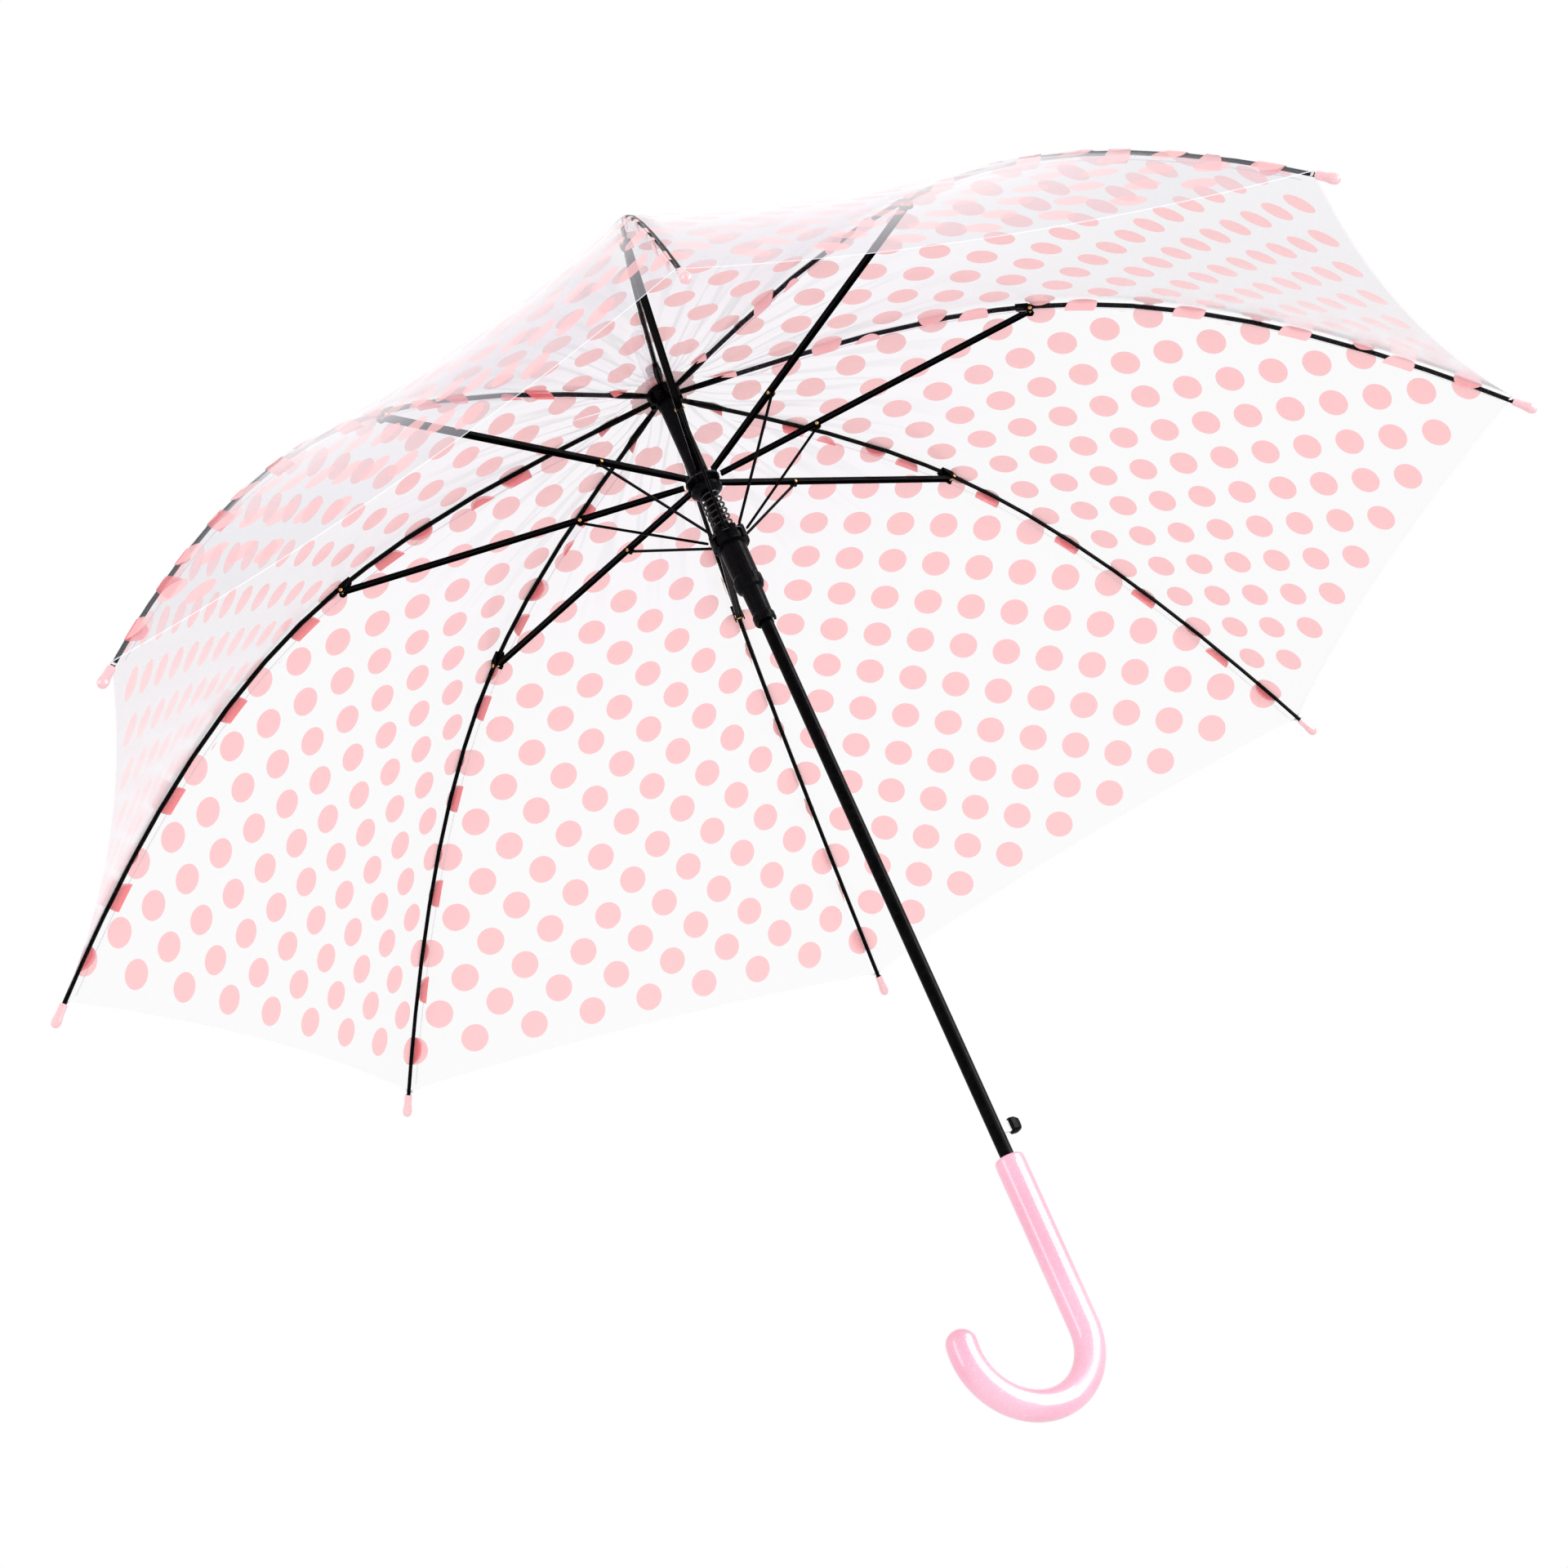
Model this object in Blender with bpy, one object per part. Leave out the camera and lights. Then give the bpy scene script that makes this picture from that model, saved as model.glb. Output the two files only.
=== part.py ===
"""Clear dome umbrella, eight ribs, automatic opening, J-shaped handle.

Lengths in this file are millimetres until mesh_object() turns them into metres.
Frame: origin on the shaft's axis at the middle of the straight grip, +Z along the shaft to the ferrule, +X the way the
hook of the handle opens. Heights marked "crown" are measured from the crown's top plane, which is CROWN_Z above the origin.
"""

import math

import bmesh
import bpy
import numpy as np

# ---------------------------------------------------------------- driving dimensions (mm, degrees)
CROWN_Z = 590.0  # crown's plane above the origin
RIBS = 8
RIB_AZIMUTH = -30.0  # rib 1, seen from above, from +X
RIB_STEP = -360.0 / RIBS

RIB_PIVOT = (9.5, -6.0)  # (radius, crown height) of a rib's eyelet in the crown
RIB_KNEE = (226.4, -43.8)  # where the stretcher's bracket sits, and the rib starts to bend
RIB_END = (459.3, -229.6)  # where the rib goes into its tip
RIB_SLOPES = (0.10, 0.366, 1.20)  # fall per unit of radius at those three points
RIB_RADIUS = 1.45
RIB_CRIMP_RADIUS = 1.7  # thicker crimped end by the crown
RIB_CRIMP_LENGTH = 20.0
KNEE_GAP = 0.9  # half the gap between the two lengths of a rib
TIP_LENGTH = 14.7
TIP_ROOT_RADIUS = 2.35
TIP_BULB_RADIUS = 3.1
RIB_INTO_TIP = 6.0

BRACKET_DROP = 2.9  # stretcher's rivet below the rib's centre line
RUNNER_PIVOT = (10.3, -70.0)  # stretcher's inner rivet at the upper runner
STRETCHER_WIDTH = 4.4
STRETCHER_DEPTH = 2.2
STRETCHER_WALL = 0.6
STRETCHER_TIP_WIDTH = 3.9
STRETCHER_FORK = 50.0  # the web starts this far out
STRUT_SHARE = 0.3107  # how far out along the stretcher the strut's rivet sits
STRUT_DROP = 2.3
RING_PIVOT = (11.0, -112.5)  # strut's inner end at the lower runner
STRUT_RADIUS = 0.9

SHAFT_RADIUS = 4.1
SHAFT_BORE = 3.0
SHAFT_TOP = 17.0
SHAFT_BOTTOM = -571.0
HANDLE_TOP = -537.6
HANDLE_RADIUS = 8.7
HANDLE_STRAIGHT_END = -639.6
HOOK_RADIUS = 38.0  # of the bend's centre line
HOOK_ANGLE = 189.0
RUNNING_BORE = 5.1  # runners' bore, loose on the shaft

SPRING_MEAN_RADIUS = 6.1
SPRING_WIRE = 1.25
SPRING_TURNS = 6.4
SPRING_TOP = -80.4
SPRING_BOTTOM = -109.6

FILM = 0.25
FILM_LIFT = 2.5  # film above a rib's centre line
FILM_INNER = 5.0
FILM_SAG = 0.028  # of the chord between two ribs, towards the inside
RIM_HOLLOW = 7.0  # how far the rim curves in between two tips
SEAM_GAP = 0.2

BUTTON_TOP, BUTTON_BOTTOM = -514.5, -524.0
BUTTON_FACE = 9.6  # cap's inner face from the axis
BUTTON_OUTER = 16.0

# ---------------------------------------------------------------- materials


def material(name, colour, roughness, metallic=0.0, alpha=1.0, coat=0.0):
    m = bpy.data.materials.new(name)
    m.use_nodes = True
    p = m.node_tree.nodes["Principled BSDF"]
    p.inputs["Base Color"].default_value = (*colour, 1.0)
    p.inputs["Roughness"].default_value = roughness
    p.inputs["Metallic"].default_value = metallic
    p.inputs["Alpha"].default_value = alpha
    p.inputs["Coat Weight"].default_value = coat
    return m


# ---------------------------------------------------------------- mesh helpers


def mesh_object(name, points, faces, mat, smooth=True):
    """A closed mesh from points in millimetres measured from the crown's plane, moved into the frame and metres."""
    mesh = bpy.data.meshes.new(name)
    moved = [((x) / 1000, (y) / 1000, (z + CROWN_Z) / 1000) for x, y, z in points]
    mesh.from_pydata(moved, [], [tuple(f) for f in faces])
    bm = bmesh.new()
    bm.from_mesh(mesh)
    bmesh.ops.recalc_face_normals(bm, faces=bm.faces)
    if bm.calc_volume(signed=True) < 0:
        bmesh.ops.reverse_faces(bm, faces=bm.faces)
    bm.to_mesh(mesh)
    bm.free()
    for polygon in mesh.polygons:
        polygon.use_smooth = smooth
    obj = bpy.data.objects.new(name, mesh)
    bpy.context.scene.collection.objects.link(obj)
    if mat:
        mesh.materials.append(mat)
    return obj


def rings(name, loops, mat, closed=False, smooth=True):
    """Skin over a list of loops with the same number of points. Ends are capped, unless the last loop meets the first."""
    n, points, faces = len(loops[0]), [], []
    for loop in loops:
        points.extend(tuple(p) for p in loop)
    count = len(loops)
    for i in range(count if closed else count - 1):
        a, b = i * n, ((i + 1) % count) * n
        for j in range(n):
            k = (j + 1) % n
            faces.append((a + j, a + k, b + k, b + j))
    if not closed:
        faces.append(tuple(range(n))[::-1])
        faces.append(tuple(range((count - 1) * n, count * n)))
    return mesh_object(name, points, faces, mat, smooth)


def circle(radius, z, n, x=0.0, y=0.0):
    return [
        (x + radius * math.cos(2 * math.pi * k / n), y + radius * math.sin(2 * math.pi * k / n), z)
        for k in range(n)
    ]


def turned(name, profile, mat, n=24, bore=True):
    """A part turned about the shaft's axis. profile is (radius, height) pairs round its section; with no bore it runs from end to end."""
    return rings(name, [circle(r, z, n) for r, z in profile], mat, closed=bore)


def block(name, low, high):
    x, y, z = zip(low, high)
    points = [(x[i], y[j], z[k]) for i in (0, 1) for j in (0, 1) for k in (0, 1)]
    faces = [(0, 1, 3, 2), (4, 6, 7, 5), (0, 4, 5, 1), (2, 3, 7, 6), (0, 2, 6, 4), (1, 5, 7, 3)]
    return mesh_object(name, points, faces, None, False)


def combine(obj, other, operation):
    """obj with other cut away or joined on, as one mesh; other is used up."""
    modifier = obj.modifiers.new("combine", "BOOLEAN")
    modifier.operation, modifier.solver, modifier.object = operation, "EXACT", other
    bpy.context.view_layer.update()
    made = bpy.data.meshes.new_from_object(obj.evaluated_get(bpy.context.evaluated_depsgraph_get()))
    obj.modifiers.clear()
    old = obj.data
    materials = [m for m in old.materials]
    obj.data = made
    made.materials.clear()
    for m in materials:
        made.materials.append(m)
    bpy.data.meshes.remove(old)
    spare = other.data
    bpy.data.objects.remove(other)
    bpy.data.meshes.remove(spare)
    return obj


def turned_block(low, high, azimuth):
    """A block given in (radial, tangential, crown height), turned to an azimuth."""
    obj = block("cutter", low, high)
    spin(obj, azimuth)
    return obj


def spin(obj, azimuth):
    c, s = math.cos(math.radians(azimuth)), math.sin(math.radians(azimuth))
    for v in obj.data.vertices:
        x, y = v.co.x, v.co.y
        v.co.x, v.co.y = c * x - s * y, s * x + c * y


def placed(azimuth, radial, tangential, z):
    c, s = math.cos(math.radians(azimuth)), math.sin(math.radians(azimuth))
    return (c * radial - s * tangential, s * radial + c * tangential, z)


# ---------------------------------------------------------------- the rib's curve and the linkage's points


def bezier(p0, slope0, p1, slope1, n):
    """n + 1 points of the curve from p0 to p1 with those falls at its ends."""
    reach = (p1[0] - p0[0]) / 3
    a = (p0[0] + reach, p0[1] - slope0 * reach)
    b = (p1[0] - reach, p1[1] + slope1 * reach)
    t = np.linspace(0, 1, n + 1)[:, None]
    p0, a, b, p1 = (np.array(v, float) for v in (p0, a, b, p1))
    return (1 - t) ** 3 * p0 + 3 * t * (1 - t) ** 2 * a + 3 * t**2 * (1 - t) * b + t**3 * p1


FINE = 400
INNER_CURVE = bezier(RIB_PIVOT, RIB_SLOPES[0], RIB_KNEE, RIB_SLOPES[1], FINE)
OUTER_CURVE = bezier(RIB_KNEE, RIB_SLOPES[1], RIB_END, RIB_SLOPES[2], FINE)


def lengths(curve):
    return np.concatenate([[0], np.cumsum(np.linalg.norm(np.diff(curve, axis=0), axis=1))])


INNER_LENGTH = lengths(INNER_CURVE)[-1]
OUTER_LENGTH = lengths(OUTER_CURVE)[-1]


def rib_at(s):
    """((radius, height), unit tangent, unit normal upwards) of the rib's centre line, s millimetres from its pivot. It runs on straight past either end."""
    curve, at, local = (INNER_CURVE, lengths(INNER_CURVE), s) if s <= INNER_LENGTH else (OUTER_CURVE, lengths(OUTER_CURVE), s - INNER_LENGTH)
    within = min(max(local, 0.0), at[-1])
    point = np.array([np.interp(within, at, curve[:, k]) for k in (0, 1)])
    i = min(max(int(np.searchsorted(at, within)), 1), FINE)
    tangent = (curve[i] - curve[i - 1]) / np.linalg.norm(curve[i] - curve[i - 1])
    return point + tangent * (local - within), tangent, np.array([-tangent[1], tangent[0]])


KNEE, KNEE_TANGENT, KNEE_UP = rib_at(INNER_LENGTH)
BRACKET_PIVOT = KNEE - BRACKET_DROP * KNEE_UP
FOOT = np.array(RUNNER_PIVOT)
STRETCHER_LENGTH = float(np.linalg.norm(BRACKET_PIVOT - FOOT))
ALONG = (BRACKET_PIVOT - FOOT) / STRETCHER_LENGTH
ABOVE = np.array([-ALONG[1], ALONG[0]])
STRUT_PIVOT = FOOT + STRUT_SHARE * STRETCHER_LENGTH * ALONG - STRUT_DROP * ABOVE
RING = np.array(RING_PIVOT)

# ---------------------------------------------------------------- makers for the pieces of one rib


def rod(name, azimuth, stations, mat, n=6, turn=0.0):
    """A rod in a rib's plane. stations are (point, unit normal, radius)."""
    loops = []
    for point, up, radius in stations:
        loop = []
        for k in range(n):
            a = 2 * math.pi * (k + turn) / n
            p = point + radius * math.sin(a) * up
            loop.append(placed(azimuth, p[0], radius * math.cos(a), p[1]))
        loops.append(loop)
    return rings(name, loops, mat)


def plate(name, azimuth, outline, low, high, origin, along, up):
    """A flat plate: outline in (along, up) from origin, from low to high across."""
    loops = []
    for across in (low, high):
        loop = []
        for a, b in outline:
            p = origin + a * along + b * up
            loop.append(placed(azimuth, p[0], across, p[1]))
        loops.append(loop)
    return rings(name, loops, None, smooth=False)


def rib_inner(number, azimuth, mat):
    stations = []
    for s, radius in [
        (-1.4, 0.9), (-0.7, 1.5), (3.0, RIB_CRIMP_RADIUS), (RIB_CRIMP_LENGTH - 3, RIB_CRIMP_RADIUS), (RIB_CRIMP_LENGTH, RIB_RADIUS),
        *[(RIB_CRIMP_LENGTH + f * (INNER_LENGTH - KNEE_GAP - RIB_CRIMP_LENGTH), RIB_RADIUS) for f in (0.25, 0.5, 0.75, 0.9, 1.0)],
    ]:
        point, _, up = rib_at(s)
        stations.append((point, up, radius))
    obj = rod(f"rib_inner_{number}", azimuth, stations, mat, 6)
    # saddle over the rib, with a cheek down each side to the stretcher's rivet
    half, thick = STRETCHER_WIDTH / 2 + 0.4, 0.65
    top = plate("top", azimuth, [(-9, -0.2), (-1.1, -0.2), (-1.1, 0.7), (-9, 0.7)], -half - thick, half + thick, KNEE, KNEE_TANGENT, KNEE_UP)
    combine(obj, top, "UNION")
    for side in (-1, 1):
        low, high = sorted((side * half, side * (half + thick)))
        cheek = plate(
            "cheek", azimuth,
            [(-8.5, 0.6), (-1.6, 0.6), (1.6, -1.0), (2.4, -2.9), (1.2, -4.9), (-1.4, -4.9), (-5.0, -2.4), (-8.5, -0.9)],
            low, high, KNEE, KNEE_TANGENT, KNEE_UP,
        )
        combine(obj, cheek, "UNION")
    for polygon in obj.data.polygons:
        polygon.use_smooth = False
    return obj


def rib_outer(number, azimuth, mat):
    stations = []
    for f in (0.0, 0.1, 0.2, 0.32, 0.44, 0.56, 0.68, 0.8, 0.9, 1.0):
        s = INNER_LENGTH + KNEE_GAP + f * (OUTER_LENGTH - KNEE_GAP + RIB_INTO_TIP)
        point, _, up = rib_at(s)
        stations.append((point, up, RIB_RADIUS - 0.1 * f))
    return rod(f"rib_outer_{number}", azimuth, stations, mat, 6)


def rib_tip(number, azimuth, mat):
    """A moulded cap, bored for the rib's end."""
    n, base = 10, INNER_LENGTH + OUTER_LENGTH
    loops = []
    for s, radius in [
        (RIB_INTO_TIP + 0.5, RIB_RADIUS + 0.3), (0.0, RIB_RADIUS + 0.35), (0.0, TIP_ROOT_RADIUS), (6.0, TIP_ROOT_RADIUS + 0.1),
        (9.0, TIP_BULB_RADIUS - 0.25), (11.2, TIP_BULB_RADIUS), (13.2, TIP_BULB_RADIUS - 0.45), (14.3, TIP_BULB_RADIUS - 1.3), (TIP_LENGTH, 0.9),
    ]:
        point, _, up = rib_at(base + s)
        loop = []
        for k in range(n):
            a = 2 * math.pi * k / n
            p = point + radius * math.sin(a) * up
            loop.append(placed(azimuth, p[0], radius * math.cos(a), p[1]))
        loops.append(loop)
    return rings(f"rib_tip_{number}", loops, mat)


def stretcher(number, azimuth, mat):
    """A channel, open downwards. Its web is cut away at the inner end, so that the strut can fold through between the two walls."""
    h, w = STRETCHER_DEPTH / 2, STRETCHER_WALL
    loops = []
    for s, half in [(STRETCHER_FORK, STRETCHER_WIDTH / 2), (STRETCHER_LENGTH - 1.0, STRETCHER_WIDTH / 2), (STRETCHER_LENGTH + 1.2, STRETCHER_WIDTH / 2 - 0.7)]:
        point = FOOT + s * ALONG
        loop = []
        for across, up in [(-half, -h), (-half, h), (half, h), (half, -h), (half - w, -h), (half - w, h - w), (w - half, h - w), (w - half, -h)]:
            p = point + up * ABOVE
            loop.append(placed(azimuth, p[0], across, p[1]))
        loops.append(loop)
    obj = rings(f"stretcher_{number}", loops, mat, smooth=False)
    for side in (-1, 1):
        loops = []
        for s, half in [(1.6, STRETCHER_TIP_WIDTH / 2), (9.0, STRETCHER_TIP_WIDTH / 2), (16.0, STRETCHER_WIDTH / 2 - 0.04), (STRETCHER_FORK + 2.0, STRETCHER_WIDTH / 2 - 0.04)]:
            point = FOOT + s * ALONG
            loop = []
            for across, up in [(half, 0.06 - h), (half, h - 0.06), (half - w + 0.1, h - 0.06), (half - w + 0.1, 0.06 - h)]:
                p = point + up * ABOVE
                loop.append(placed(azimuth, p[0], side * across, p[1]))
            loops.append(loop)
        combine(obj, rings("wall", loops, None, smooth=False), "UNION")
    for polygon in obj.data.polygons:
        polygon.use_smooth = False
    return obj


def strut(number, azimuth, mat):
    way = (RING - STRUT_PIVOT) / np.linalg.norm(RING - STRUT_PIVOT)
    up = np.array([-way[1], way[0]])
    length = float(np.linalg.norm(RING - STRUT_PIVOT))
    stations = [(STRUT_PIVOT + s * way, up, r) for s, r in [(-0.7, 0.45), (0.0, STRUT_RADIUS), (length - 2.4, STRUT_RADIUS), (length - 1.6, 0.5)]]
    return rod(f"strut_{number}", azimuth, stations, mat, 8)


# ---------------------------------------------------------------- film


def film_edge(s):
    """(radius, height) of the film's middle surface along a rib, lifted off the rib and laid flat over the crown."""
    point, _, up = rib_at(s)
    lifted = point + FILM_LIFT * up
    share = min(max((lifted[0] - 11.5) / 36.0, 0.0), 1.0)
    share = share * share * (3 - 2 * share)
    return np.array([lifted[0], share * lifted[1] + (1 - share) * -0.35])


def film_point(azimuth, s, t):
    """A point of the film's middle surface, s along the ribs and t from 0 to 1 across, from rib at azimuth to the next."""
    full = INNER_LENGTH + OUTER_LENGTH - 1.5
    hollow = RIM_HOLLOW * 4 * t * (1 - t)
    first = -(RIB_PIVOT[0] - FILM_INNER)
    s = first + (s - first) * (full - hollow - first) / (full - first)
    radius, z = film_edge(s)
    ahead = film_edge(s + 1.0) - film_edge(s - 1.0)
    ahead /= np.linalg.norm(ahead)
    half = math.radians(RIB_STEP) / 2
    side = 1 if half > 0 else -1
    mid = azimuth + RIB_STEP / 2
    reach = abs(radius * math.sin(half)) - SEAM_GAP
    sag = FILM_SAG * 2 * abs(radius * math.sin(half)) * 4 * t * (1 - t)
    return placed(mid, radius * math.cos(half) + ahead[1] * sag, side * reach * (2 * t - 1), z - ahead[0] * sag)


def gore(number, azimuth, mat):
    across = 6
    first, full = -(RIB_PIVOT[0] - FILM_INNER), INNER_LENGTH + OUTER_LENGTH - 1.5
    at = [first, 2.0, 16.0, 40.0, 80.0, 120.0, 165.0, 205.0, 240.0, 275.0, 310.0, 345.0, 380.0, 415.0, 450.0, 485.0, full]
    rows = len(at) - 1
    middle = np.array([[film_point(azimuth, s, j / across) for j in range(across + 1)] for s in at])
    du = np.gradient(middle, axis=0)
    dv = np.gradient(middle, axis=1)
    normal = np.cross(du, dv)
    normal /= np.linalg.norm(normal, axis=2, keepdims=True)
    points = np.concatenate([(middle + FILM / 2 * normal).reshape(-1, 3), (middle - FILM / 2 * normal).reshape(-1, 3)])
    wide, count = across + 1, (rows + 1) * (across + 1)
    faces = []
    for i in range(rows):
        for j in range(across):
            a = i * wide + j
            quad = (a, a + 1, a + wide + 1, a + wide)
            faces.append(quad)
            faces.append(tuple(count + k for k in quad[::-1]))
    edge = [j for j in range(wide)] + [i * wide + across for i in range(1, rows + 1)]
    edge += [rows * wide + j for j in range(across - 1, -1, -1)] + [i * wide for i in range(rows - 1, 0, -1)]
    for a, b in zip(edge, edge[1:] + edge[:1]):
        faces.append((a, b, count + b, count + a))
    return mesh_object(f"gore_{number}", [tuple(p) for p in points], faces, mat)


# ---------------------------------------------------------------- pieces on the shaft


def shaft(mat):
    obj = turned("shaft", [(SHAFT_RADIUS, SHAFT_TOP), (SHAFT_RADIUS, SHAFT_BOTTOM), (SHAFT_BORE, SHAFT_BOTTOM), (SHAFT_BORE, SHAFT_TOP)], mat, 20)
    return combine(obj, block("slot", (-6.0, -1.5, BUTTON_BOTTOM + 1.0), (-2.0, 1.5, BUTTON_TOP - 1.0)), "DIFFERENCE")


def crown(mat):
    obj = turned("crown", [(10.6, -1.6), (10.6, -9.2), (7.6, -9.8), (4.4, -9.8), (4.4, -1.0), (9.8, -1.0)], mat, 32)
    for k in range(RIBS):
        combine(obj, turned_block((7.3, -2.0, -12.0), (14.0, 2.0, -3.7), RIB_AZIMUTH + k * RIB_STEP), "DIFFERENCE")
    for polygon in obj.data.polygons:
        polygon.use_smooth = False
    return obj


def upper_runner(mat):
    neck = 6.0
    profile = [(neck - 0.3, -10.4), (neck, -11.0)]
    profile += [(neck, -75.0), (9.4, -75.4), (9.9, -76.0), (9.9, -78.0), (7.6, -79.9), (RUNNING_BORE, -79.9), (RUNNING_BORE, -10.4)]
    obj = turned("upper_runner", profile, mat, 20)
    return obj


def lower_runner(mat):
    profile = [
        (8.0, -110.0), (8.2, -110.6), (8.2, -114.6), (11.3, -115.0), (11.6, -115.8), (11.6, -118.6), (11.2, -119.4), (8.3, -120.0),
        (8.2, -142.0), (9.1, -144.0), (9.1, -148.0), (8.2, -150.5), (6.5, -152.0), (6.1, -168.5), (6.9, -170.4), (6.9, -174.0), (6.5, -174.9),
        (RUNNING_BORE, -174.9), (RUNNING_BORE, -110.0),
    ]
    obj = turned("lower_runner", profile, mat, 24)
    for k in range(RIBS):
        combine(obj, turned_block((9.9, -0.95, -114.0), (14.0, 0.95, -121.0 + 0.0), RIB_AZIMUTH + k * RIB_STEP), "DIFFERENCE")
    return combine(obj, block("notch", (-12.0, -1.75, -180.0), (-4.6, 1.75, -167.0)), "DIFFERENCE")


def coil(name, centre, axis, start, end, mean, wire, turns, mat, per_turn=12, n=5):
    """A round-wire spring from start to end along an axis, given as an index, through centre."""
    total = int(turns * per_turn)
    loops = []
    others = [k for k in range(3) if k != axis]
    for i in range(total + 1):
        a = 2 * math.pi * i / per_turn
        h = start + (end - start) * i / total
        out = np.zeros(3)
        out[others[0]], out[others[1]] = math.cos(a), math.sin(a)
        up = np.zeros(3)
        up[axis] = 1.0
        middle = np.array(centre, float) + mean * out
        middle[axis] = h
        loops.append([tuple(middle + wire / 2 * (math.cos(2 * math.pi * k / n) * out + math.sin(2 * math.pi * k / n) * up)) for k in range(n)])
    return rings(name, loops, mat)


def handle(mat):
    """The straight grip and the hook in one moulding, bored for the shaft."""
    n = 20
    loops = [circle(4.4, SHAFT_BOTTOM - 1.5, n), circle(4.4, HANDLE_TOP, n)]
    for z, r in [(0.0, HANDLE_RADIUS - 1.2), (-0.6, HANDLE_RADIUS - 0.5), (-2.0, HANDLE_RADIUS - 0.1), (-5.0, HANDLE_RADIUS)]:
        loops.append(circle(r, HANDLE_TOP + z, n))
    for z in (-575.0, -610.0):
        loops.append(circle(HANDLE_RADIUS, z, n))
    steps = 22
    for i in range(steps + 1):
        a = math.radians(HOOK_ANGLE) * i / steps
        loops.append(hook_ring(a, HANDLE_RADIUS, 0.0, n))
    for ahead, r in [(3.0, HANDLE_RADIUS - 0.5), (5.8, HANDLE_RADIUS - 2.1), (7.6, HANDLE_RADIUS - 4.4), (8.4, HANDLE_RADIUS - 7.2)]:
        loops.append(hook_ring(math.radians(HOOK_ANGLE), r, ahead, n))
    return rings("handle", loops, mat)


def hook_ring(a, radius, ahead, n):
    centre = np.array([HOOK_RADIUS * (1 - math.cos(a)), 0.0, HANDLE_STRAIGHT_END - HOOK_RADIUS * math.sin(a)])
    forward = np.array([math.sin(a), 0.0, -math.cos(a)])
    out = np.array([math.cos(a), 0.0, math.sin(a)])
    centre = centre + ahead * forward
    return [tuple(centre + radius * (math.cos(2 * math.pi * k / n) * out + math.sin(2 * math.pi * k / n) * np.array([0, 1.0, 0]))) for k in range(n)]


def button(cap_mat, stem_mat, spring_mat):
    """Cap, stem through the shaft's wall, and the small spring behind it."""
    middle = (BUTTON_TOP + BUTTON_BOTTOM) / 2
    loops = []
    for r, half_z, half_y in [(BUTTON_FACE, 4.3, 3.2), (BUTTON_FACE + 0.5, 4.7, 3.6), (BUTTON_FACE + 3.2, 4.7, 3.6), (BUTTON_OUTER - 0.9, 3.7, 3.0), (BUTTON_OUTER, 1.8, 1.5)]:
        loop = []
        for k in range(12):
            a = 2 * math.pi * k / 12
            loop.append((-r, half_y * math.copysign(abs(math.cos(a)) ** 0.7, math.cos(a)), middle + half_z * math.copysign(abs(math.sin(a)) ** 0.7, math.sin(a))))
        loops.append(loop)
    rings("button_cap", loops, cap_mat)
    stem = block("button_stem", (-BUTTON_FACE + 0.3, -1.15, BUTTON_BOTTOM + 1.6), (-1.2, 1.15, BUTTON_TOP - 1.6))
    stem.data.materials.append(stem_mat)
    coil("button_spring", (0, 0, middle), 0, -0.75, 2.35, 1.35, 0.4, 3.5, spring_mat, 10, 5)


def build():
    for obj in list(bpy.data.objects):
        bpy.data.objects.remove(obj)
    black = material("black_metal", (0.012, 0.012, 0.014), 0.32, metallic=0.3, coat=0.3)
    plastic = material("black_plastic", (0.015, 0.015, 0.018), 0.38, coat=0.2)
    steel = material("spring_steel", (0.05, 0.05, 0.055), 0.3, metallic=0.9)
    pink = material("pink_pearl", (0.93, 0.50, 0.62), 0.25, coat=0.8)
    film = material("clear_film", (0.96, 0.95, 0.97), 0.12, alpha=0.35)
    pale = material("pale_plastic", (0.93, 0.91, 0.93), 0.3)

    shaft(black)
    crown(plastic)
    turned("ferrule", [(7.4, 3.4), (7.6, 4.4), (6.9, 8.0), (5.4, 38.0), (4.4, 43.0), (3.2, 44.6), (2.4, 45.0), (0.6, 45.0), (0.6, SHAFT_TOP + 1.5), (4.4, SHAFT_TOP + 0.6), (4.4, 3.4)], plastic, 16)
    turned("top_washer", [(10.2, 0.1), (10.8, 0.7), (10.0, 2.2), (7.6, 2.9), (4.4, 2.9), (4.4, 0.1)], plastic, 20)
    upper_runner(plastic)
    lower_runner(plastic)
    coil("opening_spring", (0, 0, 0), 2, SPRING_BOTTOM + SPRING_WIRE / 2 + 0.1, SPRING_TOP - SPRING_WIRE / 2 - 0.1, SPRING_MEAN_RADIUS, SPRING_WIRE, SPRING_TURNS, steel)
    handle(pink)
    button(plastic, pale, steel)
    for k in range(RIBS):
        azimuth = RIB_AZIMUTH + k * RIB_STEP
        rib_inner(k + 1, azimuth, black)
        rib_outer(k + 1, azimuth, black)
        rib_tip(k + 1, azimuth, pink)
        stretcher(k + 1, azimuth, black)
        strut(k + 1, azimuth, black)
        gore(k + 1, azimuth, film)


build()
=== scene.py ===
"""Looks for the clear dome umbrella: film, dots, seams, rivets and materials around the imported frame. Lengths are millimetres until at()."""

import math

import bmesh
import bpy
import numpy as np
from mathutils import Matrix, Vector


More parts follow.
